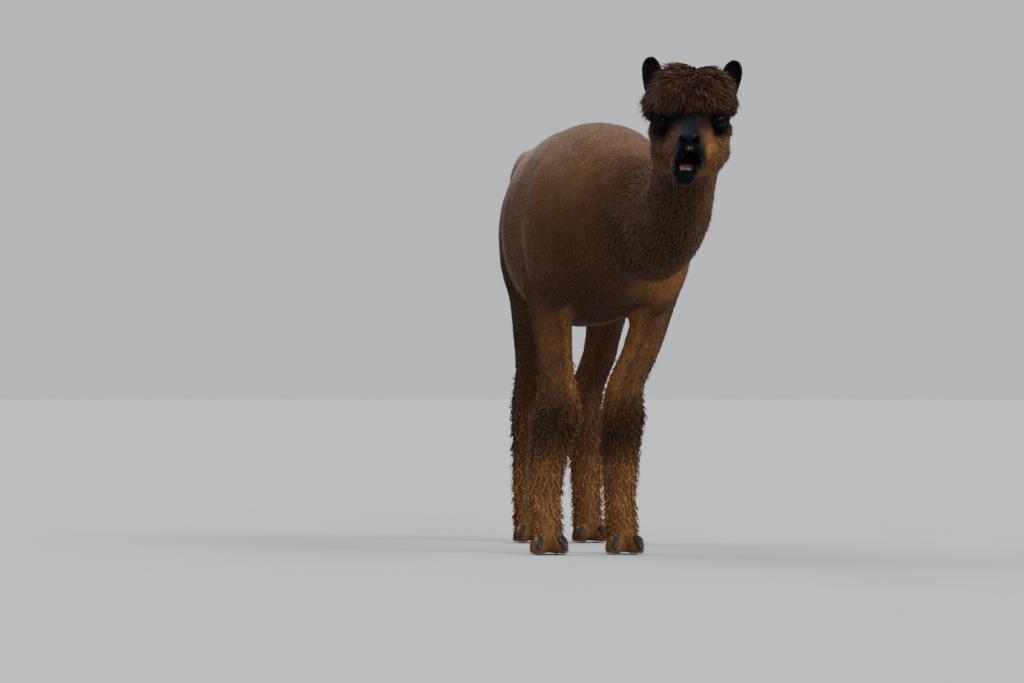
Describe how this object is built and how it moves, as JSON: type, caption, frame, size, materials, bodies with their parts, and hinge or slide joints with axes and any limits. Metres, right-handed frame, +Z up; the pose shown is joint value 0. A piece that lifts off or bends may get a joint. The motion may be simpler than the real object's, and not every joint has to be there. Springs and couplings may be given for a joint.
{
  "type": "alpaca",
  "caption": "Standing alpaca with a short-shorn brown coat, mop of a topknot and upright ears, head held low and forward with the mouth a little open.",
  "frame": {"origin": "middle of the underside of the whole: on the floor the feet stand on, under the middle of its length and width", "axes": "+Z up, -Y the way the alpaca faces, +X its left side"},
  "size_m": [0.378, 1.549, 1.0029],
  "materials": {
    "fleece": "short, matte, dense fleece",
    "topknot": "long, tousled, matte fleece",
    "face": "short, close, matte hair",
    "ear": "short, matte black hair",
    "eye": "wet gloss",
    "tongue": "moist satin",
    "nail": "satin horn"
  },
  "bodies": {
    "root": {"ear_left": "ear", "ear_right": "ear", "eye_left": "eye", "eye_right": "eye", "forefoot_left": "fleece", "forefoot_right": "fleece", "foreleg_left": "fleece", "foreleg_right": "fleece", "head": "face", "hindfoot_left": "fleece", "hindfoot_right": "fleece", "hindleg_left": "fleece", "hindleg_right": "fleece", "lower_jaw": "face", "nail_fore_left_left": "nail", "nail_fore_left_right": "nail", "nail_fore_right_left": "nail", "nail_fore_right_right": "nail", "nail_hind_left_left": "nail", "nail_hind_left_right": "nail", "nail_hind_right_left": "nail", "nail_hind_right_right": "nail", "neck": "fleece", "tail": "fleece", "tongue": "tongue", "topknot": "topknot", "trunk": "fleece"}
  },
  "joints": []
}
